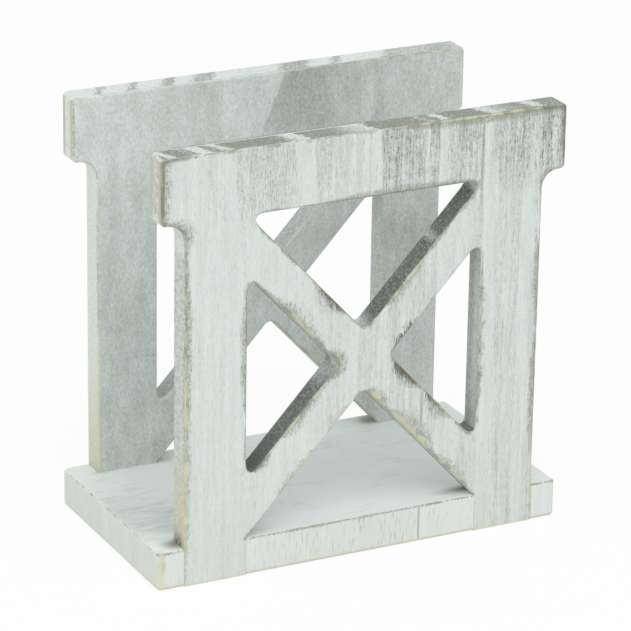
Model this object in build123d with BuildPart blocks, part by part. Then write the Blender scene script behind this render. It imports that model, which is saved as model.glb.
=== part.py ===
from build123d import *
from math import acos, atan, atan2, degrees, hypot, tan
import os

# Upright napkin holder of painted wood: a base board and two X-braced panels, pinned with brads.
# Millimetres. The origin is at the middle of the underside, +Z is up and +X runs along the panels.
# The front panel is on the -Y side. Nothing moves.

# Base board
base_length = 165.0
base_depth = 88.0
base_thickness = 14.5
base_corner_radius = 2.0
base_arris_radius = 0.8

# Panels: each is one board with two posts, a top bar with ears, and an X brace
holder_height = 164.0
panel_thickness = 10.0
opening_width = 95.0
post_width = 24.5
top_bar_depth = 25.0
ear_length = 9.2
brace_width = 15.0
cutter_radius = 3.0
ear_hollow_radius = 6.5
ear_corner_radius = 1.8
panel_arris_radius = 0.7

# Room beside each leg in its notch in the base
leg_side_clearance = 0.1

# Brads: two through each leg into the base board
brad_diameter = 1.2
brad_length = 25.0
brad_point_length = 2.0
brad_tip_diameter = 0.4
brad_head_diameter = 1.9
brad_head_height = 0.8
brad_spacing = 12.0
brad_clearance = 0.05

# Worked out from the sizes above: x along the panel and z above the underside
opening_half = opening_width / 2
opening_top = holder_height - top_bar_depth
opening_height = opening_top - base_thickness
post_centre = opening_half + post_width / 2
post_outer = opening_half + post_width
ear_end = post_outer + ear_length

# Each brace's two edges start at opposite corners of the opening, so its width sets its angle
opening_diagonal = hypot(opening_width, opening_height)
brace_angle = acos(brace_width / opening_diagonal) - atan2(opening_width, opening_height)
brace_rise = opening_width * tan(brace_angle)

brad_places = [
    (side * post_centre + step * brad_spacing / 2, base_thickness / 2)
    for side in (-1, 1)
    for step in (-1, 1)
]
brad_point_taper = degrees(atan((brad_diameter - brad_tip_diameter) / 2 / brad_point_length))

# Outer face of each panel: local x runs along it, local y is up, and the normal points outwards
front_face = Plane(origin=(0, -base_depth / 2, 0), x_dir=(1, 0, 0), z_dir=(0, -1, 0))
back_face = Plane(origin=(0, base_depth / 2, 0), x_dir=(-1, 0, 0), z_dir=(0, 1, 0))


def same(a, b):
    """Whether two sizes are equal, but for rounding."""
    return abs(a - b) < 1e-3


# Base board: rounded corners and eased arrises, then a notch for each leg and pilot holes
with BuildPart() as base_board:
    with BuildSketch():
        RectangleRounded(base_length, base_depth, base_corner_radius)
    extrude(amount=base_thickness)
    fillet(base_board.faces().filter_by(Axis.Z).edges(), base_arris_radius)
    # The notches go right through, so the legs end flush with the underside
    with BuildSketch():
        with GridLocations(2 * post_centre, base_depth - panel_thickness, 2, 2):
            Rectangle(post_width + 2 * leg_side_clearance, panel_thickness)
    extrude(amount=base_thickness, mode=Mode.SUBTRACT)
    # Pilot holes run from each notch's floor to the brads' tips
    for face in (front_face, back_face):
        with BuildSketch(face.offset(-panel_thickness)):
            with Locations(*brad_places):
                Circle(brad_diameter / 2 + brad_clearance)
        extrude(amount=panel_thickness - brad_length, mode=Mode.SUBTRACT)


def saw_panel(face):
    """One panel: sawn to its outline, arrises eased, legs left square, brad holes drilled."""
    with BuildPart() as panel:
        with BuildSketch(face) as outline:
            with Locations((0, opening_top + top_bar_depth / 2)):
                Rectangle(2 * ear_end, top_bar_depth)
            with Locations((-post_centre, base_thickness), (post_centre, base_thickness)):
                Rectangle(
                    post_width, holder_height - base_thickness, align=(Align.CENTER, Align.MIN)
                )
            # One brace, and its mirror image
            with BuildLine():
                Polyline(
                    (-opening_half, base_thickness),
                    (opening_half, base_thickness + brace_rise),
                    (opening_half, opening_top),
                    (-opening_half, opening_top - brace_rise),
                    close=True,
                )
            make_face()
            mirror(about=Plane.YZ)
            # The cutter leaves its own radius in every corner of the openings
            opening_corners = outline.vertices().filter_by(
                lambda v: abs(v.X) < opening_half + 0.1
                and base_thickness + 0.1 < v.Y < opening_top + 0.1
            )
            fillet(opening_corners, cutter_radius)
            ear_hollows = outline.vertices().filter_by(
                lambda v: same(abs(v.X), post_outer) and same(v.Y, opening_top)
            )
            fillet(ear_hollows, ear_hollow_radius)
            ear_corners = outline.vertices().filter_by(lambda v: same(abs(v.X), ear_end))
            fillet(ear_corners, ear_corner_radius)
        extrude(amount=-panel_thickness)
        # Sanded arrises, all but the line where the posts become legs
        broad_faces = panel.faces().filter_by(Axis.Y).sort_by(SortBy.AREA)[-2:]
        arrises = broad_faces.edges().filter_by(lambda e: not same(e.center().Z, base_thickness))
        fillet(arrises, panel_arris_radius)
        # Square legs, which fill the notches in the base
        with BuildSketch(face):
            with Locations((-post_centre, 0), (post_centre, 0)):
                Rectangle(post_width, base_thickness, align=(Align.CENTER, Align.MIN))
        extrude(amount=-panel_thickness)
        # Brad holes with seats for the heads
        with BuildSketch(face):
            with Locations(*brad_places):
                Circle(brad_diameter / 2 + brad_clearance)
        extrude(amount=-panel_thickness, mode=Mode.SUBTRACT)
        with BuildSketch(face):
            with Locations(*brad_places):
                Circle(brad_head_diameter / 2 + brad_clearance)
        extrude(amount=-brad_head_height, mode=Mode.SUBTRACT)
    return panel


def drive_brads(face):
    """The four brads of one panel: heads flush with its outer face, points in the base."""
    with BuildPart() as brads:
        with BuildSketch(face):
            with Locations(*brad_places):
                Circle(brad_head_diameter / 2)
        extrude(amount=-brad_head_height)
        with BuildSketch(face):
            with Locations(*brad_places):
                Circle(brad_diameter / 2)
        extrude(amount=brad_point_length - brad_length)
        with BuildSketch(face.offset(brad_point_length - brad_length)):
            with Locations(*brad_places):
                Circle(brad_diameter / 2)
        extrude(amount=-brad_point_length, taper=brad_point_taper)
    return brads


os.makedirs("parts", exist_ok=True)

base_board.part.label = "base_board"
export_step(base_board.part, "parts/base_board.step")

front_panel = saw_panel(front_face)
front_panel.part.label = "front_panel"
export_step(front_panel.part, "parts/front_panel.step")

back_panel = saw_panel(back_face)
back_panel.part.label = "back_panel"
export_step(back_panel.part, "parts/back_panel.step")

front_brads = drive_brads(front_face)
front_brads.part.label = "front_brads"
export_step(front_brads.part, "parts/front_brads.step")

back_brads = drive_brads(back_face)
back_brads.part.label = "back_brads"
export_step(back_brads.part, "parts/back_brads.step")
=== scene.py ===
import math

import bpy
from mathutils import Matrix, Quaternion, Vector, kdtree


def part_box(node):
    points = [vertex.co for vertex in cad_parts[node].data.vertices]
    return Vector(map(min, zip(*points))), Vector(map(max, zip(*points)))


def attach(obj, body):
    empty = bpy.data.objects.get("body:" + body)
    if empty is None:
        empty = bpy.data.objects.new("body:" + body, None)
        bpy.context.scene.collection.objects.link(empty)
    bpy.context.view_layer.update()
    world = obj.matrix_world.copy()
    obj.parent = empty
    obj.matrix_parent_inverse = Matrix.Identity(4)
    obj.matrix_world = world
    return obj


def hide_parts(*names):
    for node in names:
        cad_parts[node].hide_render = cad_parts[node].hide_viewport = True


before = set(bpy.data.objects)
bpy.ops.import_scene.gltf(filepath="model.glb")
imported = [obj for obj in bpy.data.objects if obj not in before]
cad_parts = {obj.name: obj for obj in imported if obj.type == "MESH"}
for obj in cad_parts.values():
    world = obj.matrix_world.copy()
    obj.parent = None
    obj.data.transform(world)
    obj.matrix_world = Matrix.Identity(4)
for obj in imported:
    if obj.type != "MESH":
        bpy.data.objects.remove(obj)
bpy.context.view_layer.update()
MM = 0.001


# Camera, lamps and table top
# A plain white table under soft, even light, seen from the holder's front left and a little above.
# The lens is long, as for a shop picture, so upright edges stay nearly parallel.
# The camera's turn, height and roll are in degrees, its distance and aim in millimetres
PHOTO_WIDTH = 631
FOCAL_PIXELS = 3718.1
CAMERA_TURN = -26.914
CAMERA_HEIGHT = 20.78
CAMERA_ROLL = 0.909
CAMERA_DISTANCE = 1387.4
AIM_HEIGHT = 78.75
AIM_TO_RIGHT = 1.64


def direction(turn, height):
    """The way from the holder to a place round it: turn from the front and height, in degrees."""
    turn, height = math.radians(turn), math.radians(height)
    return Vector((
        math.sin(turn) * math.cos(height),
        -math.cos(turn) * math.cos(height),
        math.sin(height),
    ))


towards_camera = direction(CAMERA_TURN, CAMERA_HEIGHT)
camera_right = direction(CAMERA_TURN + 90, 0)
aim = camera_right * AIM_TO_RIGHT + Vector((0, 0, AIM_HEIGHT))
upright_view = (-towards_camera).to_track_quat("-Z", "Y")
bpy.ops.object.camera_add()
camera = bpy.context.object
camera.data.lens = FOCAL_PIXELS / PHOTO_WIDTH * camera.data.sensor_width
camera.data.clip_end = 20
camera.location = (aim + towards_camera * CAMERA_DISTANCE) * MM
camera.rotation_mode = "QUATERNION"
camera.rotation_quaternion = upright_view @ Quaternion((0, 0, 1), math.radians(CAMERA_ROLL))
bpy.context.scene.camera = camera
bpy.context.scene.view_settings.view_transform = "Standard"

HOLDER_MIDDLE = Vector((0, 0, 80 * MM))


def soft_box(name, turn, height, distance, width, watts):
    """A square studio lamp that faces the holder's middle from a turn and height in degrees."""
    away = direction(turn, height)
    bpy.ops.object.light_add(type="AREA", location=away * distance + HOLDER_MIDDLE)
    lamp = bpy.context.object
    lamp.name = name
    lamp.rotation_mode = "QUATERNION"
    lamp.rotation_quaternion = (-away).to_track_quat("-Z", "Y")
    lamp.data.shape = "SQUARE"
    lamp.data.size = width
    lamp.data.energy = watts


soft_box("key_lamp", turn=-12, height=54, distance=2.2, width=1.8, watts=19)
soft_box("side_lamp", turn=-85, height=30, distance=2.2, width=1.4, watts=6)


class Value:
    """A number or colour that a finish works out at each point. Operators add its Math nodes."""

    def __init__(self, finish, socket):
        self.finish = finish
        self.socket = socket

    def maths(self, operation, *numbers):
        settings = {"operation": operation}
        return self.finish.node("ShaderNodeMath", settings, dict(enumerate(numbers)))

    def __add__(self, other):
        return self.maths("ADD", self, other)

    def __sub__(self, other):
        return self.maths("SUBTRACT", self, other)

    def __rsub__(self, other):
        return self.maths("SUBTRACT", other, self)

    def __mul__(self, other):
        return self.maths("MULTIPLY", self, other)

    def __truediv__(self, other):
        return self.maths("DIVIDE", self, other)

    def __abs__(self):
        return self.maths("ABSOLUTE", self)

    __radd__ = __add__
    __rmul__ = __mul__

    def most(self, other):
        return self.maths("MAXIMUM", self, other)

    def least(self, other):
        return self.maths("MINIMUM", self, other)

    def swing(self, amount):
        """Grain from 0 to 1 made to swing evenly to both sides of 0, by amount in all."""
        return (self - 0.5) * amount

    def blend(self, other, share):
        """This value where share is 0, and the other where it is 1."""
        return self + (other - self) * share

    def limit(self):
        """Kept from 0 to 1."""
        return self.finish.node("ShaderNodeClamp", {}, {0: self})

    def rise(self, low, high):
        """0 below low, 1 above high, and smooth between. With low above high it falls instead."""
        settings = {"interpolation_type": "SMOOTHSTEP"}
        return self.finish.node("ShaderNodeMapRange", settings, {0: self, 1: low, 2: high})

    def within(self, low, high, soft):
        """1 from low to high, falling to 0 over soft on each side."""
        return self.rise(low - soft, low) * self.rise(high + soft, high)


class Finish:
    """A material's or the room's nodes, built up from values."""

    def __init__(self, owner):
        owner.use_nodes = True
        self.tree = owner.node_tree
        self.tree.nodes.clear()

    def node(self, kind, settings, sockets, out=0):
        """Adds a node: its settings first, then the values or links of its sockets."""
        made = self.tree.nodes.new(kind)
        for name, setting in settings.items():
            if name == "stops":
                place_stops(made.color_ramp, setting)
            else:
                setattr(made, name, setting)
        for name, value in sockets.items():
            if isinstance(value, Value):
                self.tree.links.new(value.socket, made.inputs[name])
            else:
                made.inputs[name].default_value = value
        return Value(self, made.outputs[out]) if made.outputs else None

    def show_plain(self, lit, shown, share):
        """Mixes a plain glow into what the camera, glass and metal see, but not into the light."""
        rays = self.node("ShaderNodeLightPath", {}, {})
        seen = [Value(self, rays.socket.node.outputs[f"Is {kind} Ray"])
                for kind in ("Camera", "Glossy", "Transmission")]
        direct = seen[0].most(seen[1]).most(seen[2])
        return self.node("ShaderNodeMixShader", {}, {0: direct * share, 1: lit, 2: shown})


def place_stops(ramp, stops):
    """Fills a ramp from (place, value) pairs, both from 0 to 1."""
    ramp.elements.remove(ramp.elements[1])
    ramp.elements[0].position = stops[0][0]
    ramp.elements[0].color = (*(stops[0][1],) * 3, 1)
    for place, value in stops[1:]:
        ramp.elements.new(place).color = (*(value,) * 3, 1)


PLAIN_WHITE = (1, 1, 1, 1)
ROOM_WHITE = (0.985, 1.0, 0.99, 1)
ROOM_LEVEL = 0.695
room = bpy.data.worlds.new("room")
bpy.context.scene.world = room
room_light = Finish(room)
sky = room_light.node("ShaderNodeBackground", {}, {"Color": ROOM_WHITE, "Strength": ROOM_LEVEL})
backdrop = room_light.node("ShaderNodeBackground", {}, {"Color": PLAIN_WHITE})
room_mix = room_light.show_plain(sky, backdrop, 1.0)
room_light.node("ShaderNodeOutputWorld", {}, {"Surface": room_mix})

# The table top is 8 m wide, and lies a hair below the base, so that the two faces don't fight
TABLE_SIZE = 8
TABLE_DROP = 0.05 * MM
TABLE_GREY = (0.9, 0.9, 0.9, 1)
TABLE_GLOW = 0.9
bpy.ops.mesh.primitive_plane_add(size=TABLE_SIZE, location=(0, 0, -TABLE_DROP))
table = bpy.context.object
table.name = "table_top"
table_white = bpy.data.materials.new("table_white")
table.data.materials.append(table_white)
table_paint = Finish(table_white)
matt = table_paint.node("ShaderNodeBsdfDiffuse", {}, {"Color": TABLE_GREY})
glow = table_paint.node("ShaderNodeEmission", {}, {"Color": PLAIN_WHITE, "Strength": 1.0})
table_mix = table_paint.show_plain(matt, glow, TABLE_GLOW)
table_paint.node("ShaderNodeOutputMaterial", {}, {"Surface": table_mix})


# Base board
# One flat softwood board, a bit over half an inch thick, with rounded corners and eased arrises.
# Four notches in its long edges take the panels' legs, and pilot holes run in from their floors
# for the brads. White is brushed over a grey-olive stain and rubbed back at the arrises.
BASE_LOW, BASE_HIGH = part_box("base_board")
PANEL_LOW, PANEL_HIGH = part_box("front_panel")
BASE_CORNER_RADIUS = 2 * MM
BASE_ARRIS_RADIUS = 0.8 * MM
POST_INNER = 47.5 * MM
POST_OUTER = 72 * MM
POST_MIDDLE = (POST_INNER + POST_OUTER) / 2
LEG_ROOM = 0.1 * MM
BRAD_SPACING = 12 * MM
BRAD_PLACES = [
    side * (POST_MIDDLE + step * BRAD_SPACING / 2) for side in (-1, 1) for step in (-1, 1)
]
BRAD_HEIGHT = (BASE_LOW.z + BASE_HIGH.z) / 2
BRAD_LENGTH = 25 * MM
SHANK_HOLE = 0.65 * MM
# Cutters run on past the faces that they cut by this much
BEYOND = 1 * MM
# Faces that meet at more degrees than SHARP make an arris. Those that meet at fewer than SMOOTH
# are shaded as one
SHARP = 50
SMOOTH = 38
# Wear is marked this far from an arris, and from ON_ARRIS up it is the eased arris itself
WEAR_REACH = 8 * MM
ON_ARRIS = 0.93
RUB_DEPTH = 0.3 * MM
DENT_SIZE = 5 * MM


def saw_block(name, low, high):
    """A squared board between two corners."""
    bpy.ops.object.select_all(action="DESELECT")
    size = [b - a for a, b in zip(low, high)]
    middle = [(a + b) / 2 for a, b in zip(low, high)]
    bpy.ops.mesh.primitive_cube_add(size=1, location=middle, scale=size)
    piece = bpy.context.object
    piece.name = name
    piece.data.name = name
    bpy.ops.object.transform_apply(location=True, rotation=True, scale=True)
    return piece


def take_up(piece):
    """Makes the piece the only one selected, and the one that operators work on."""
    bpy.ops.object.select_all(action="DESELECT")
    bpy.context.view_layer.objects.active = piece
    piece.select_set(True)


def choose_edges(piece, wanted):
    """Selects the edges for which wanted(a, b, turn) holds: their ends, and the faces' turn."""
    take_up(piece)
    bpy.ops.object.mode_set(mode="EDIT")
    bpy.ops.mesh.select_mode(type="EDGE")
    bpy.ops.mesh.select_all(action="DESELECT")
    bpy.ops.object.mode_set(mode="OBJECT")
    beside = {}
    for polygon in piece.data.polygons:
        for key in polygon.edge_keys:
            beside.setdefault(key, []).append(polygon.normal.copy())
    chosen = []
    for edge in piece.data.edges:
        a, b = (piece.data.vertices[i].co.copy() for i in edge.vertices)
        normals = beside.get(edge.key, [])
        turn = math.degrees(normals[0].angle(normals[1], 0)) if len(normals) == 2 else 180.0
        edge.select = wanted(a, b, turn)
        if edge.select:
            chosen.append((a, b, turn))
    return chosen


def bevel_chosen(offset, segments):
    """Eases or rounds the edges chosen last."""
    bpy.ops.object.mode_set(mode="EDIT")
    bpy.ops.mesh.bevel(offset=offset, offset_type="OFFSET", segments=segments, profile=0.5)
    bpy.ops.object.mode_set(mode="OBJECT")


def cut_away(piece, cutter):
    """Saws or drills the cutter's shape out of the piece."""
    cut = piece.modifiers.new("cut", "BOOLEAN")
    cut.operation = "DIFFERENCE"
    cut.solver = "EXACT"
    cut.object = cutter
    take_up(piece)
    bpy.ops.object.modifier_apply(modifier=cut.name)
    bpy.data.objects.remove(cutter)


def drill(piece, x, z, radius, outer, inner):
    """A round hole along Y from one depth to another."""
    bpy.ops.object.select_all(action="DESELECT")
    bpy.ops.mesh.primitive_cylinder_add(
        vertices=24, radius=radius, depth=abs(inner - outer),
        location=(x, (outer + inner) / 2, z), rotation=(math.pi / 2, 0, 0),
    )
    bit = bpy.context.object
    bpy.ops.object.transform_apply(location=True, rotation=True, scale=True)
    cut_away(piece, bit)


def score_grid(piece, pitch):
    """Divides the faces by planes across X, Y and Z, so that wear has points to sit on."""
    low = [min(v.co[axis] for v in piece.data.vertices) for axis in range(3)]
    high = [max(v.co[axis] for v in piece.data.vertices) for axis in range(3)]
    take_up(piece)
    bpy.ops.object.mode_set(mode="EDIT")
    for axis in range(3):
        across = [1.0 if i == axis else 0.0 for i in range(3)]
        count = int((high[axis] - low[axis]) / pitch)
        for step in range(count):
            place = low[axis] + (step + 0.5) * (high[axis] - low[axis]) / count
            bpy.ops.mesh.select_all(action="SELECT")
            bpy.ops.mesh.bisect(plane_co=[place * n for n in across], plane_no=across)
    bpy.ops.mesh.select_all(action="SELECT")
    bpy.ops.mesh.remove_doubles(threshold=0.04 * MM)
    bpy.ops.object.mode_set(mode="OBJECT")


def mark_wear(piece, arrises):
    """Stores how near each point is to a rubbed arris: 1 on it, and 0 from WEAR_REACH away."""
    spacing = 0.4 * MM
    lengths = [(a, b, max(1, int((b - a).length / spacing))) for a, b, _ in arrises]
    tree = kdtree.KDTree(sum(count + 1 for _, _, count in lengths))
    number = 0
    for a, b, count in lengths:
        for step in range(count + 1):
            tree.insert(a.lerp(b, step / count), number)
            number += 1
    tree.balance()
    near = piece.data.attributes.new("wear", "FLOAT", "POINT")
    for vertex, mark in zip(piece.data.vertices, near.data):
        mark.value = max(0.0, 1 - tree.find(vertex.co)[2] / WEAR_REACH)


def rub_arrises(piece):
    """Takes the eased arrises down unevenly, by no more than RUB_DEPTH, and shades the piece."""
    eased = piece.vertex_groups.new(name="eased")
    near = piece.data.attributes["wear"].data
    worn = [v.index for v in piece.data.vertices if near[v.index].value > ON_ARRIS]
    eased.add(worn, 1.0, "REPLACE")
    dents = bpy.data.textures.new("dents", "CLOUDS")
    dents.noise_scale = DENT_SIZE
    rub = piece.modifiers.new("rub", "DISPLACE")
    rub.texture = dents
    rub.texture_coords = "LOCAL"
    rub.vertex_group = "eased"
    rub.mid_level = 1.0
    rub.strength = RUB_DEPTH
    take_up(piece)
    bpy.ops.object.modifier_apply(modifier=rub.name)
    bpy.ops.object.shade_smooth_by_angle(angle=math.radians(SMOOTH))
    flat = piece.modifiers.new("flat", "WEIGHTED_NORMAL")
    flat.keep_sharp = True
    flat.weight = 80
    bpy.ops.object.modifier_apply(modifier=flat.name)
    piece.vertex_groups.clear()


base = saw_block("base_board_whitewashed", BASE_LOW, BASE_HIGH)
choose_edges(base, lambda a, b, turn: abs(a.z - b.z) > MM)
bevel_chosen(BASE_CORNER_RADIUS, segments=5)
base_arrises = choose_edges(base, lambda a, b, turn: turn > SHARP)
bevel_chosen(BASE_ARRIS_RADIUS, segments=3)
notch_floor = BASE_HIGH.y - (PANEL_HIGH.y - PANEL_LOW.y)
for side_x in (-1, 1):
    for side_y in (-1, 1):
        x_reach = sorted((side_x * (POST_INNER - LEG_ROOM), side_x * (POST_OUTER + LEG_ROOM)))
        y_reach = sorted((side_y * notch_floor, side_y * (BASE_HIGH.y + BEYOND)))
        notch = saw_block(
            "notch",
            (x_reach[0], y_reach[0], -BEYOND),
            (x_reach[1], y_reach[1], BASE_HIGH.z + BEYOND),
        )
        cut_away(base, notch)
for side_y in (-1, 1):
    tip = side_y * (BASE_HIGH.y - BRAD_LENGTH)
    for x in BRAD_PLACES:
        drill(base, x, BRAD_HEIGHT, SHANK_HOLE, side_y * (notch_floor + BEYOND), tip)
score_grid(base, pitch=2.5 * MM)
mark_wear(base, base_arrises)
rub_arrises(base)


def paint(red, green, blue):
    """A colour as the eye reads it, 0 to 255, for a shader's linear socket."""
    channels = [c / 255 for c in (red, green, blue)]
    linear = [c / 12.92 if c <= 0.04045 else ((c + 0.055) / 1.055) ** 2.4 for c in channels]
    return (*linear, 1)


# The base's white is the panels' white made a little lighter, as painted light where the base lies
# in the panels' shade
LIFTED_WHITE = paint(228, 235, 233)
CREAM = paint(219, 222, 208)
STAIN = paint(96, 102, 97)
OLIVE = paint(138, 141, 122)
TAN = paint(214, 209, 178)


class Coat(Finish):
    """White brushed over grey-olive stain, worked out from object coordinates.

    The rubbed arrises show the stain as olive, then tan wood, and a few deep chips are sooty.
    Places, sizes and reaches are in millimetres. Covers and shares go from 0, none, to 1, solid,
    and grains that are added to them stand for the brush's and the wood's unevenness.
    """

    # How far to each side of its line an eased arris reaches, in millimetres
    EASED = 0.25

    def __init__(self, name):
        self.material = bpy.data.materials.new(name)
        super().__init__(self.material)
        metres = self.node("ShaderNodeTexCoord", {}, {}, "Object")
        self.place = self.vector("MULTIPLY", metres, (1 / MM, 1 / MM, 1 / MM))
        self.x, self.y, self.z = self.parts(self.place)
        facing = self.node("ShaderNodeTexCoord", {}, {}, "Normal")
        self.facing_x, self.facing_y, self.facing_z = self.parts(facing)
        wear = self.node("ShaderNodeAttribute", {"attribute_name": "wear"}, {}, "Fac")
        self.from_arris = (1 - wear) * (WEAR_REACH / MM)

    def vector(self, operation, *vectors):
        settings = {"operation": operation}
        return self.node("ShaderNodeVectorMath", settings, dict(enumerate(vectors)))

    def parts(self, vector):
        split = self.node("ShaderNodeSeparateXYZ", {}, {0: vector}).socket.node
        return [Value(self, split.outputs[axis]) for axis in "XYZ"]

    def grain(self, size, shift=0.0, detail=2.0, roughness=0.5):
        """Noise with blotches of size millimetres along X, Y and Z. Shift picks another part."""
        stretched = self.vector("DIVIDE", self.place, size)
        moved = self.vector("ADD", stretched, (shift, shift * 1.7, shift * 2.3))
        sockets = {"Vector": moved, "Scale": 1.0, "Detail": detail, "Roughness": roughness}
        noise = self.node("ShaderNodeTexNoise", {}, sockets)
        # Raw noise keeps near a half, so it is spread over 0 to 1
        return noise * 2.2 - 0.6

    def bands(self, along, stops):
        """A value that changes along a line: stops are (millimetres, value from 0 to 1).

        A ramp holds 32 stops, so a longer row is split over two.
        """
        if len(stops) > 32:
            half = len(stops) // 2
            left, right = self.bands(along, stops[:half + 1]), self.bands(along, stops[half:])
            return left.blend(right, along.rise(stops[half][0], stops[half][0] + 0.01))
        first, length = stops[0][0], stops[-1][0] - stops[0][0]
        shares = [((place - first) / length, value) for place, value in stops]
        return self.node("ShaderNodeValToRGB", {"stops": shares}, {0: (along - first) / length})

    def spot(self, centre, radii, edge=0.3):
        """1 within a share, edge, of the radii along X, Y and Z, falling to 0 at the radii."""
        away = self.vector("DIVIDE", self.vector("SUBTRACT", self.place, centre), radii)
        settings = {"operation": "LENGTH"}
        return self.node("ShaderNodeVectorMath", settings, {0: away}, "Value").rise(1, edge)

    def mix(self, share, base_colour, top_colour):
        """One colour laid over another. They are the node's sockets 6 and 7, and its output 2."""
        sockets = {0: share, 6: base_colour, 7: top_colour}
        return self.node("ShaderNodeMix", {"data_type": "RGBA"}, sockets, 2)

    def worn(self, reach, specks, scatter=1.5, soft=0.25):
        """1 from the arris to reach millimetres from it. The wider it is, the softer it ends."""
        fade = reach * 0.45 + 0.6
        inside = (reach - self.from_arris + self.EASED) / fade
        return (inside + specks.swing(scatter)).rise(0.1 - soft, 0.1 + soft)

    def halo(self, reach, streaks):
        """Streaks that thin out from the arris to about twice reach."""
        fade = (reach * 1.6 + 0.1).most(0.1)
        inside = 1 - (self.from_arris - self.EASED) / fade
        return (inside.limit() * 1.25 + streaks.swing(1.6) - 0.4).limit()

    def dry(self, stain, white, cover, cream, worn_through, relief):
        """Finishes the coat: white, partly creamy, covers the stain as far as cover says.

        Over it lie the worn-through colours, as (how far it shows, colour). Relief is the
        brush marks' height from 0 to 1, as a share of 0.1 mm.
        """
        cover = cover.limit()
        colour = self.mix(cover, stain, self.mix(cream, white, CREAM))
        for share, bared in worn_through:
            colour = self.mix(share.limit(), colour, bared)
        sockets = {"Strength": 0.6, "Distance": 0.1 * MM, "Height": relief}
        bump = self.node("ShaderNodeBump", {}, sockets)
        shader = self.node("ShaderNodeBsdfPrincipled", {}, {
            "Base Color": colour,
            "Roughness": 0.85 - 0.2 * cover,
            "Specular IOR Level": 0.3,
            "Normal": bump,
        })
        self.node("ShaderNodeOutputMaterial", {}, {"Surface": shader})
        return self.material


# Painted shade, in olive, on the base top in the corners where the legs stand: its middle, its
# radii, and how dark it is
LEG_SHADE = [
    ((-72, -37.5, 14.5), (8.5, 7, 3), 1.1),
    ((47.5, -36.8, 14.5), (17, 4.6, 3), 0.95),
    ((45, 38, 14.5), (7, 7, 3), 0.8),
    ((-46, 35, 14.5), (9, 3.5, 3), 0.4),
    ((-70, 34, 14.5), (8, 2.5, 3), 0.35),
]
# How coarse the brush marks are along the edges: x, and coarseness
COARSENESS = [(-82, 0.15), (-40, 0.3), (-5, 0.5), (20, 0.5), (24, 0.2), (82, 0.05)]


def coat_base(name):
    """The base's coat: smooth cloudy white on top, upright brush marks on its edges."""
    coat = Coat(name)
    x, z = coat.x, coat.z
    forward = coat.facing_y * -1
    upward = abs(coat.facing_z).rise(0.6, 0.9)
    endways = abs(coat.facing_x).rise(0.6, 0.9)

    # Top: cloudy, with long faint smudges, thinner at the back and at the left end
    smudges = coat.grain((9, 2.2, 1), shift=3.1, detail=4, roughness=0.6)
    clouds = coat.grain((16, 9, 16), shift=5.3, detail=3)
    speckle = coat.grain((0.9, 0.5, 0.6), shift=6.6, detail=3, roughness=0.7)
    thin = coat.spot((20, 24, 14), (60, 26, 20), edge=0) * 0.08
    thin = thin + coat.spot((-78, -12, 14), (34, 48, 20), edge=0.1) * 0.24
    top_cover = 1.06 - thin + smudges.swing(0.28) + clouds.swing(0.2) + speckle.swing(0.14)
    # Painted shade about the legs' feet
    leg_shade = 0
    for place, radii, depth in LEG_SHADE:
        leg_shade = coat.spot(place, radii, edge=0) * depth + leg_shade

    # Edges: fine upright brush marks, coarsest about the middle
    marks = coat.grain((0.6, 0.6, 6), shift=7.7, detail=4, roughness=0.7)
    ticks = marks.rise(0.56, 0.86)
    broad = coat.grain((5, 5, 60), shift=2.2)
    coarse = coat.bands(x, COARSENESS)
    side_cover = 0.97 - 0.05 * endways - 0.08 * coarse - ticks * (0.08 + coarse * 0.4)
    side_cover = side_cover + broad.swing(0.06)
    cover = side_cover.blend(top_cover, upward)

    # Wear: a dark line along the top arris, tan at the left corner and along the bottom
    teeth = coat.grain((0.6, 0.6, 0.8), shift=9.1, detail=3, roughness=0.7) * 0.6 + marks * 0.4
    patchy = coat.grain((7, 7, 7), shift=4.4, detail=1).rise(0.2, 0.75)
    high = z.rise(7, 8)
    frontal = forward.rise(-0.2, 0.3)
    corner = coat.spot((-82.5, -44, 6), (4, 4, 30), edge=0.2)
    reach = (0.2 * patchy + 0.4 * frontal) * high + corner * 0.3 - 0.12
    fringe = coat.halo(reach.most(0.1) * 1.5, marks) * frontal * (0.3 + coarse * 1.6)
    olive = coat.worn(reach, teeth, scatter=2.0).most(fringe) * (0.35 + 0.5 * high)
    tan = coat.worn(corner * 0.5 + (1 - high) * 1.5 - 0.3, teeth) * 0.7

    # The front left corner is rubbed through in a soft-edged patch, with a smudge beside it
    blurred = coat.grain((2.5, 2.5, 2.5), shift=12.4, detail=3) * 0.6 + teeth * 0.4
    rounded = coat.spot((-81.6, -44, 7), (3.4, 2.4, 40), edge=0.1)
    tan = tan.most((rounded * 1.3 + blurred.swing(1.5) - 0.3).limit() * 0.75)
    smudge = coat.spot((-80.6, -44, 9.5), (1.6, 1.4, 4), edge=0.1) * blurred
    olive = olive.most(smudge * 0.9)

    # One upright line of stain shows on the front edge
    stain_line = x.within(23.6, 24.1, 0.35) * z.within(1.5, 13.5, 1) * forward.rise(0.5, 0.9)
    olive = olive.most(stain_line * 0.55)
    # The painted shade at the legs' feet is laid into the base top as olive
    olive = olive.most(leg_shade * (0.85 + clouds.swing(0.5)) * upward)
    cream = 0.3 - 0.28 * upward - 0.1 * x.rise(0, 40) + 0.1 * endways
    worn_through = [(olive, OLIVE), (tan, TAN)]
    return coat.dry(STAIN, LIFTED_WHITE, cover, cream, worn_through, marks * 0.7)


base.data.materials.append(coat_base("base_whitewash"))
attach(base, "root")
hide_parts("base_board")


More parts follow.
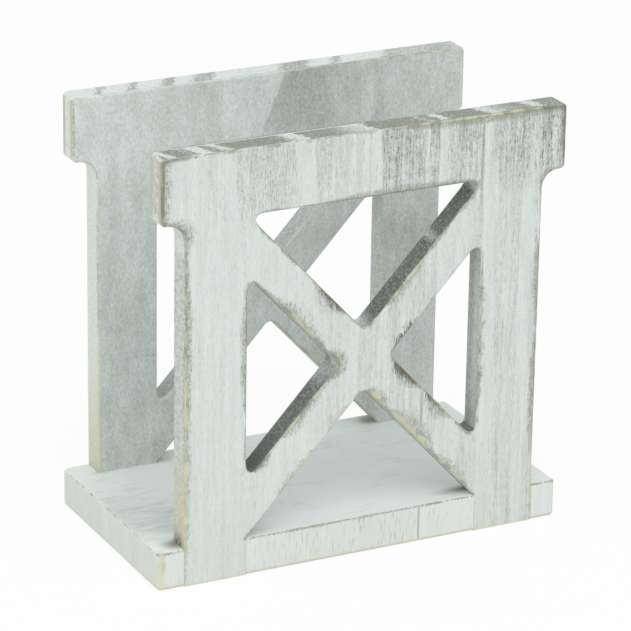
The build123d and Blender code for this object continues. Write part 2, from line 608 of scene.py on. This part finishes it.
# Panels
# Each is one softwood board, sawn to its outline with a round cutter that leaves its radius in
# every inner corner, then stained, dry-brushed white and rubbed back. The posts run on below the
# braces as square legs, which are glued and pinned into the base's notches.
OPENING_TOP = 139 * MM
BRACE_WIDTH = 15 * MM
CUTTER_RADIUS = 3 * MM
EAR_END = PANEL_HIGH.x
EAR_HOLLOW_RADIUS = 6.5 * MM
EAR_CORNER_RADIUS = 1.8 * MM
PANEL_ARRIS_RADIUS = 0.7 * MM
# Paint fills most of the room round a brad's head, so its hole is drawn tighter than drilled
HEAD_HOLE = 0.962 * MM
HEAD_DEPTH = 0.8 * MM
# Each brace's two edges start at opposite corners of the opening, so its width sets its slope
opening_height = OPENING_TOP - BASE_HIGH.z
brace_slope = math.acos(BRACE_WIDTH / math.hypot(2 * POST_INNER, opening_height))
brace_slope -= math.atan2(2 * POST_INNER, opening_height)


def same(a, b):
    """Whether two measures are equal, but for rounding."""
    return abs(a - b) < 0.01 * MM


def through(a, b):
    """Whether an edge runs through the board, from face to face."""
    return abs(a.y - b.y) > MM


panel = saw_block("front_panel_whitewashed", PANEL_LOW, PANEL_HIGH)
choose_edges(panel, lambda a, b, turn: through(a, b) and a.z > OPENING_TOP)
bevel_chosen(EAR_CORNER_RADIUS, segments=4)

# Waste under each ear, with the hollow where the ear meets the post
for side_x in (-1, 1):
    x_reach = sorted((side_x * POST_OUTER, side_x * (EAR_END + BEYOND)))
    waste = saw_block(
        "waste",
        (x_reach[0], PANEL_LOW.y - BEYOND, -BEYOND),
        (x_reach[1], PANEL_HIGH.y + BEYOND, OPENING_TOP),
    )
    choose_edges(
        waste,
        lambda a, b, turn: through(a, b)
        and same(abs(a.x), POST_OUTER)
        and same(a.z, OPENING_TOP),
    )
    bevel_chosen(EAR_HOLLOW_RADIUS, segments=8)
    cut_away(panel, waste)

# Four three-cornered gaps: the opening sawn off along the braces' edges
along_rising = Vector((math.cos(brace_slope), 0, math.sin(brace_slope)))
square_to_rising = Vector((-along_rising.z, 0, along_rising.x))
square_to_falling = Vector((along_rising.z, 0, along_rising.x))
left_foot = Vector((-POST_INNER, 0, BASE_HIGH.z))
right_foot = Vector((POST_INNER, 0, BASE_HIGH.z))
left_head = Vector((-POST_INNER, 0, OPENING_TOP))
right_head = Vector((POST_INNER, 0, OPENING_TOP))


def gap_cutter(cuts, floor):
    """The opening's whole block, trimmed by planes given as (point, the side to lose)."""
    gap = saw_block(
        "gap",
        (-POST_INNER, PANEL_LOW.y - BEYOND, floor),
        (POST_INNER, PANEL_HIGH.y + BEYOND, OPENING_TOP),
    )
    bpy.ops.object.mode_set(mode="EDIT")
    for point, lost in cuts:
        bpy.ops.mesh.select_all(action="SELECT")
        bpy.ops.mesh.bisect(plane_co=point, plane_no=lost, use_fill=True, clear_outer=True)
    bpy.ops.object.mode_set(mode="OBJECT")
    return gap


def round_corners(piece, wanted, radius, segments):
    """Rounds the wanted edges through a piece to one radius, whatever their angle."""
    corners = choose_edges(piece, lambda a, b, _: through(a, b) and wanted(a))
    for corner, _, turn in corners:
        choose_edges(
            piece,
            lambda a, b, _: through(a, b) and same(a.x, corner.x) and same(a.z, corner.z),
        )
        bevel_chosen(radius * math.tan(math.radians(turn / 2)), segments)


above_rising = (right_head, -square_to_rising)
below_rising = (left_foot, square_to_rising)
above_falling = (left_head, -square_to_falling)
below_falling = (right_foot, square_to_falling)
gaps = [
    gap_cutter([above_rising, above_falling], floor=0),
    gap_cutter([above_rising, below_falling], floor=0),
    gap_cutter([below_rising, above_falling], floor=0),
    gap_cutter([below_rising, below_falling], floor=-BEYOND),
]
for gap in gaps:
    round_corners(gap, lambda point: point.z > BASE_HIGH.z + MM, CUTTER_RADIUS, segments=6)
    cut_away(panel, gap)
round_corners(
    panel,
    lambda point: same(abs(point.x), EAR_END) and same(point.z, OPENING_TOP),
    EAR_CORNER_RADIUS,
    segments=4,
)

# The posts' arrises are eased down to the base, and the legs below it stay square
take_up(panel)
bpy.ops.object.mode_set(mode="EDIT")
bpy.ops.mesh.select_all(action="SELECT")
bpy.ops.mesh.bisect(plane_co=(0, 0, BASE_HIGH.z), plane_no=(0, 0, 1))
bpy.ops.object.mode_set(mode="OBJECT")
panel_arrises = choose_edges(
    panel,
    lambda a, b, turn: turn > SHARP
    and same(a.y, b.y)
    and min(a.z, b.z) > BASE_HIGH.z - 0.01 * MM,
)
bevel_chosen(PANEL_ARRIS_RADIUS, segments=3)
for x in BRAD_PLACES:
    drill(panel, x, BRAD_HEIGHT, SHANK_HOLE, PANEL_LOW.y, PANEL_HIGH.y + BEYOND)
    drill(panel, x, BRAD_HEIGHT, HEAD_HOLE, PANEL_LOW.y - BEYOND, PANEL_LOW.y + HEAD_DEPTH)
score_grid(panel, pitch=2 * MM)
mark_wear(panel, panel_arrises)

# The back panel is the same board turned half round
take_up(panel)
bpy.ops.object.duplicate()
back_panel = bpy.context.object
back_panel.name = "back_panel_whitewashed"
back_panel.rotation_euler.z = math.pi
bpy.ops.object.transform_apply(location=True, rotation=True, scale=True)

WHITE = paint(222, 229, 227)
UMBER = paint(104, 102, 86)
SOOT = paint(92, 88, 74)
# In millimetres, for the coats: the holder's top, and each panel's middle plane in Y
HOLDER_TOP = 164
PANEL_MIDDLE = 39
# The top bar's strokes lean to the left of this x, and more so the further left they are
FAN_START = 28.7
FAN_LEAN = 0.00155
# How far to the left the edges of the patch and of the strip missed inside lean, per mm of height
PATCH_LEAN = 0.42
STRIP_LEAN = 0.23
# How thin the white is across each outer face, as (x, from 0, solid, to 1, mostly stain): first
# in the top bar, then in the posts and braces. A stroke's edge is a step
TOP_BAR_STROKES = [
    (-82, 0.1), (-66.6, 0.12), (-66.2, 0.26), (-64.4, 0.18), (-64, 0.28), (-58.5, 0.3),
    (-58, 0.1), (-54.3, 0.08), (-53.9, 0.5), (-40, 0.52), (-30, 0.44), (-29.5, 0.16),
    (-22.3, 0.1), (-21.9, 0.48), (-14, 0.42), (-10, 0.3), (4.6, 0.24), (5, 0.84),
    (22.6, 0.76), (23, 0.36), (24.2, 0.4), (24.6, 0.85), (28.5, 0.85), (28.9, 0.15),
    (31, 0.22), (32, 0.64), (45.2, 0.72), (46.4, 0.95), (47.4, 0.14), (50.5, 0.28),
    (53, 0.74), (66, 0.8), (67, 0.56), (71, 0.54), (71.6, 0.98), (82, 1.0),
]
LOW_STROKES = [
    (-82, 0.08), (-72, 0.12), (-60, 0.09), (-56.2, 0.16), (-55.8, 0.06), (-50.4, 0.09),
    (-50, 0.18), (-46, 0.12), (-20, 0.1), (-19, 0.2), (-8, 0.26), (-7.6, 0.1), (-3, 0.14),
    (-2.6, 0.34), (3, 0.3), (8.6, 0.16), (9, 0.34), (15, 0.44), (15.5, 0.22), (22, 0.4),
    (26, 0.26), (28.4, 0.36), (28.8, 0.08), (34, 0.16), (44, 0.3), (47, 0.4), (47.4, 0.05),
    (51, 0.1), (54, 0.22), (54.4, 0.36), (57.2, 0.38), (57.6, 0.12), (60, 0.34), (63, 0.34),
    (63.4, 0.1), (67, 0.08), (69, 0.24), (70, 0.5), (82, 0.5),
]
# White wiped across each inner face: x, and how far it covers
INNER_STROKES = [
    (-82, 0.88), (-50, 0.86), (-44, 0.81), (-25, 0.79), (-21, 0.77), (-20.4, 0.86),
    (-4, 0.83), (2, 0.78), (24, 0.69), (25, 0.65), (35, 0.66), (37, 0.72), (42, 0.7),
    (42.6, 0.6), (46, 0.6), (47.5, 0.68), (67, 0.74), (72, 0.8), (82, 0.82),
]
# Places on the outer face whose arrises are rubbed most: x and z, radii along them, and how many
# millimetres more of olive and of tan show there
RUBBED_PLACES = [
    ((-82, 152), (9, 22), 1.9, 0.1),
    ((-72, 137), (7, 9), 1.7, 0.1),
    ((-72, 97), (5, 40), 1.5, 0.3),
    ((-72, 45), (5, 42), 0.8, 1.3),
    ((15, 139), (42, 5), 1.3, -0.3),
    ((52, 164), (48, 5), 2.1, 0.5),
    ((-14, 103), (11, 12), 1.5, 0.0),
    # Here the tan along the upper left brace's lower arris is partly real wear and partly a
    # painted highlight
    ((-30, 93), (19, 19), 1.6, 0.9),
    ((-11, 77), (7, 9), 2.3, -0.1),
    ((-24, 60), (14, 14), 1.2, 0.6),
    ((-41, 44), (5, 5), 1.0, 0.0),
    ((17, 103), (13, 13), 1.2, 0.7),
    ((18, 68), (8, 8), 2.6, -0.2),
    ((32, 54), (8, 9), 2.2, 0.8),
    ((19, 44), (15, 16), 2.8, 2.3),
    ((5, 60), (7, 9), 1.8, 1.9),
    ((-28, 36), (14, 14), 0.6, 1.4),
    ((-10, 56), (9, 10), 0.7, 1.3),
    ((82, 150), (4, 16), 1.2, 0.2),
    ((74, 136), (6, 8), 1.1, 0.3),
    ((38, 27), (10, 12), 1.0, 1.0),
    ((72, 97), (5, 22), 1.4, 0.3),
    ((72, 52), (5, 30), 2.0, 0.4),
    ((48, 80), (4, 36), 0.5, 0.2),
    ((-48, 88), (4, 32), 0.8, -0.2),
]
# Chips down to dark wood: x and z, and radii along them
SOOTY_CHIPS = [
    ((-13, 102), (10, 9)),
    ((17.5, 69), (10, 10)),
    ((15, 71.5), (6, 6)),
    ((28, 57), (6, 6)),
    ((17, 86.5), (9, 8)),
    ((14, 81), (5, 5)),
]


def coat_panel(name, outer_side, patches, slant, side_white, bare, shift):
    """One panel's coat. Outer_side is -1 where its outer face looks along -Y, and 1 along +Y.

    Patches and slant place the white left on its top. Side_white is how white its outer sides
    are, and bare how far its walls and arrises are rubbed. Shift picks its grain.
    """
    coat = Coat(name)
    x, z = coat.x, coat.z
    middle = outer_side * PANEL_MIDDLE
    outward = coat.facing_y * outer_side
    outer = outward.rise(0.5, 0.8)
    inner = (outward * -1).rise(0.5, 0.8)
    upward = coat.facing_z.rise(0.85, 0.97) * z.rise(160, 161)
    above_ears = z.rise(138, 144)
    outside = abs(x).rise(70.5, 71.5)

    # Grains that several faces share, from fine upright bristle marks to specks
    bristles = coat.grain((0.4, 1, 3.6), shift, detail=3, roughness=0.7)
    ticks = bristles.rise(0.55, 0.82)
    streaks = coat.grain((0.6, 1, 14), shift + 2, detail=3, roughness=0.7)
    grit = coat.grain((0.6, 0.6, 0.8), shift + 4, detail=3, roughness=0.75)
    teeth = grit * 0.65 + bristles * 0.35

    # Outer face: upright dry-brush strokes, which fan out to the left in the top bar
    drop = HOLDER_TOP - z
    fanned = drop.least(24) * 0.6 + drop.least(64) * 0.4
    fanned = fanned * (FAN_START - x).most(0) * FAN_LEAN
    wander = coat.grain((2, 2, 9), shift + 11, detail=3).swing(0.6)
    top_thin = coat.bands(x + wander - fanned, TOP_BAR_STROKES)
    low_thin = coat.bands(x + wander, LOW_STROKES)
    thin = low_thin.blend(top_thin, z.rise(128, 146))
    thin = thin * (0.85 + 0.15 * z.rise(20, 110))
    broad = coat.grain((2.6, 3, 40), shift + 8, detail=3)
    outer_cover = 0.97 - thin * (0.26 + 0.1 * z.rise(146, 162)) - ticks * (0.09 + thin * 0.5)
    outer_cover = outer_cover - (streaks - 0.45) * (0.07 + thin * 0.6)
    outer_cover = outer_cover + grit.swing(0.1 + thin * 0.7)
    outer_cover = outer_cover + broad.swing(0.08 + thin * 0.4)
    # Finer smears down the right half
    smears = coat.grain((1.1, 2, 22), shift + 27, detail=4, roughness=0.65).rise(0.55, 0.95)
    outer_cover = outer_cover - smears * x.rise(-30, 5) * z.rise(135, 115) * 0.14

    # Inner face: thinner white, wiped on. It missed a patch of the top bar that ends at a slant,
    # a strip at the far end, and much of the posts' upper parts
    mottle = coat.grain((0.9, 0.9, 1.4), shift + 15, detail=4, roughness=0.75)
    clouds = coat.grain((5, 5, 12), shift + 21, detail=3)
    inner_cover = coat.bands(x + wander, INNER_STROKES)
    inner_cover = inner_cover + mottle.swing(0.45) + clouds.swing(0.2)
    slanted = x - (z - HOLDER_TOP) * PATCH_LEAN + wander
    missed = slanted.rise(4.6, 5.6) * x.rise(30, 14) * z.rise(134, 146) * 0.27
    missed = missed + (x - (z - HOLDER_TOP) * STRIP_LEAN).rise(71.4, 72.4) * 0.06
    missed = missed + z.rise(140, 120) * (x.rise(20, -20) * 0.1 - x.rise(40, 50) * 0.04)
    missed = missed + x.rise(46, 49) * z.rise(140, 128) * 0.08
    inner_cover = inner_cover - missed + z.rise(80, 60) * x.rise(40, 50) * 0.2

    # Sawn walls: little white where they face up, more where they stand or face down, and less
    # in the half away from the outer face. The posts' outer sides and the ears are whiter
    wall_up = coat.facing_z.rise(0.2, 0.6) * z.rise(150, 140)
    chatter = coat.grain((0.8, 1.2, 0.8), shift + 31, detail=4, roughness=0.75)
    pitted = coat.grain((3, 2.6, 2.2), shift + 36, detail=4, roughness=0.8)
    inwards = coat.y * -outer_side + PANEL_MIDDLE
    far_half = inwards.rise(-1, 1.5) * (1 - wall_up)
    upright = x.within(46, 48, 1)
    stripped = 0.61 * wall_up + (0.34 - 0.14 * upright) * far_half
    wall_cover = 0.68 + 0.08 * upright - stripped * bare
    wall_cover = wall_cover - coat.spot((47.5, 0, 25), (4, 60, 12), edge=0.4) * 0.16 * bare
    wall_cover = wall_cover.blend(side_white, outside)
    # White has pooled in the crotches of the braces, but for the lower left one
    crotch = coat.spot((-2, 0, 88), (14, 60, 9), edge=0.5)
    crotch = crotch + coat.spot((-13, 0, 76), (14, 60, 17), edge=0.3)
    crotch = crotch + coat.spot((28, 0, 119.5), (4.5, 60, 4.5)) * 0.9
    crotch = crotch - coat.spot((-38, 0, 34), (20, 60, 26), edge=0.5) * 0.3
    wall_cover = wall_cover + 0.85 * crotch * wall_up * bare + chatter.swing(0.6)
    wall_cover = wall_cover + z.within(129, 140, 4) * outside * 0.22 * bare
    wall_cover = wall_cover + pitted.swing(0.22 + 0.4 * outside * bare)
    wall_cover = wall_cover + mottle.swing(0.3) * bare

    # Top: stain rubbed bare, with slanting patches of white left on it
    ragged = coat.grain((1.4, 1.4, 1.4), shift + 41, detail=4, roughness=0.7).swing(4.5)
    across = x + (coat.y - middle) * slant + ragged
    top_cover = coat.bands(across, patches) + grit.swing(0.9) + chatter.swing(0.6)
    cover = wall_cover.blend(outer_cover, outer).blend(inner_cover, inner)
    cover = cover.blend(top_cover, upward)

    # Wear at the arrises: bristle-toothed olive, then tan, and sooty where it is chipped
    def about(place, radii, edge=0.3):
        """1 about a place on the outer face, and as far through the board."""
        return coat.spot((place[0], 0, place[1]), (radii[0], 1000, radii[1]), edge)

    olive_more = tan_more = chipped = 0
    for place, radii, more_olive, more_tan in RUBBED_PLACES:
        where = about(place, radii, edge=0.4)
        olive_more = where * more_olive + olive_more
        tan_more = where * more_tan + tan_more
    for place, radii in SOOTY_CHIPS:
        chipped = about(place, radii) + chipped
    on_face = outer * 0.8 + 0.2
    patchy = coat.grain((6, 6, 6), shift + 51, detail=2).rise(0.3, 0.8)
    reach = (0.5 * patchy + 0.2) * bare - coat.EASED + olive_more * on_face
    fringe = coat.halo(reach * 2.2, teeth * 1.5 - 0.25)
    olive = coat.worn(reach * 0.55, teeth, scatter=2.0).most(fringe) * 0.88
    patchy = coat.grain((5, 5, 5), shift + 57, detail=2).rise(0.3, 0.75)
    reach = tan_more * (on_face * 0.6 + 0.4) * (0.4 + 0.6 * patchy) + 0.4 * patchy - coat.EASED
    tan = coat.worn(reach, teeth, scatter=1.6, soft=0.7) * 0.8
    soot = chipped * (2.0 + bristles.swing(8)) - coat.from_arris
    soot = soot.rise(-0.1, 0.7) * outer * 0.85

    # Ear ends have a tan border inside all four arrises, and the ears a dark line in front
    ear_ends = outside * above_ears * abs(coat.facing_x).rise(0.9, 0.99)
    border = (abs(coat.y - middle) + teeth - 0.5).rise(1.9, 3.0)
    border = border.most(coat.worn(1.9, teeth, scatter=0.5)) * ear_ends
    olive = olive.most(border * 0.75)
    tan = tan.most(border * 0.6)
    dark_line = (coat.from_arris + teeth).rise(2.3, 1.2)
    soot = soot.most(dark_line * above_ears * outside * 0.42 * outer)

    # The top's bare stain is olive, and the posts' feet are stained and grimy
    olive = olive.most((1 - top_cover).limit() * upward * 0.6 * (0.4 + 0.6 * bare))
    stained = z.rise(75, 15) * outside * (coat.from_arris.rise(7, 0.5) * 0.6 + 0.4)
    tan = tan.most(stained * (teeth * 1.5 - 0.1))
    olive = olive.most(z.rise(60, 15) * outside * (mottle * 2.6 - 1.1).limit() * 0.75)
    foot = coat.spot((-72, outer_side * 38, 14), (4, 8, 8), edge=0.1)
    soot = soot.most(foot * (mottle * 1.8 - 0.2).limit() * bare)
    tan = tan.most(z.rise(1.5, 0.3) * outer * (0.25 + teeth * 0.6))

    # Upright lines where strokes overlap
    line_top = (x - 46.6).within(-0.3, 0.3, 0.4) * z.rise(118, 158)
    line_low = (x - (z - 50) * 0.03).within(23.5, 24.1, 0.35) * z.within(48, 58, 5)
    olive = olive.most((line_top + line_low) * outer * (0.25 + bristles * 0.6))
    cream = 0.06 + 0.25 * (coat.facing_x * -1).rise(0.6, 0.9) + 0.25 * z.rise(50, 12)
    stain = coat.mix(outer * 0.8, STAIN, UMBER)
    worn_through = [(olive, OLIVE), (tan, TAN), (soot, SOOT)]
    return coat.dry(stain, WHITE, cover, cream, worn_through, bristles)


# White left on each top: (x in mm, how far it covers)
FRONT_PATCHES = [
    (-84, 0.3), (-80.2, 0.32), (-79.6, 1.0), (-77, 1.0), (-76.6, 0.3), (-71, 0.3), (-70, 0.7),
    (-69, 0.4), (-67.5, 0.45), (-67, 1.0), (-62.6, 1.0), (-62, 0.32), (-60, 0.36), (-57.5, 0.95),
    (-55.5, 0.9), (-54.5, 0.3), (-33, 0.28), (-29, 0.9), (-24.6, 1.0), (-23.6, 0.3),
    (-12, 0.36), (-3, 0.8), (1.8, 1.0), (2.8, 0.26), (22, 0.3), (24, 0.8), (25, 0.34),
    (28.4, 0.36), (29, 1.0), (31.5, 0.98), (32.5, 0.32), (47.6, 0.3), (48.2, 0.95), (51, 0.9),
    (54, 0.66), (62, 0.4), (66, 0.36), (66.8, 0.92), (71, 0.9), (71.8, 0.34), (82, 0.36),
]
BACK_PATCHES = [
    (-84, 1.0), (-70, 1.1), (-69.5, 0.5), (-67.5, 0.6), (-67, 1.1), (-58, 1.05), (-56, 0.6),
    (-53.5, 0.56), (-53, 1.1), (-44, 1.05), (-42, 0.5), (-38.5, 0.5), (-38, 1.1), (-32, 1.05),
    (-29, 0.6), (-23, 0.56), (-21, 1.05), (4, 1.0), (6, 0.56), (16, 0.54), (18, 1.05),
    (26, 1.1), (27, 0.56), (30, 0.6), (31, 1.1), (48, 1.05), (50, 0.6), (66, 0.74),
    (70, 0.56), (82, 0.7),
]
front_coat = coat_panel(
    "front_panel_whitewash", outer_side=-1, patches=FRONT_PATCHES, slant=0.45, side_white=0.74,
    bare=1.0, shift=0.0,
)
back_coat = coat_panel(
    "back_panel_whitewash", outer_side=1, patches=BACK_PATCHES, slant=-0.6, side_white=0.97,
    bare=0.15, shift=17.0,
)
panel.data.materials.append(front_coat)
back_panel.data.materials.append(back_coat)
for board, node in ((panel, "front_panel"), (back_panel, "back_panel")):
    rub_arrises(board)
    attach(board, "root")
    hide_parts(node)


# Brads
# Eight thin wire nails of bright drawn steel, four to a panel. They are driven through the legs
# into the base until their heads are flush, and painted over with the panels.
for node, coat in (("front_brads", front_coat), ("back_brads", back_coat)):
    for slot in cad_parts[node].material_slots:
        slot.material = coat
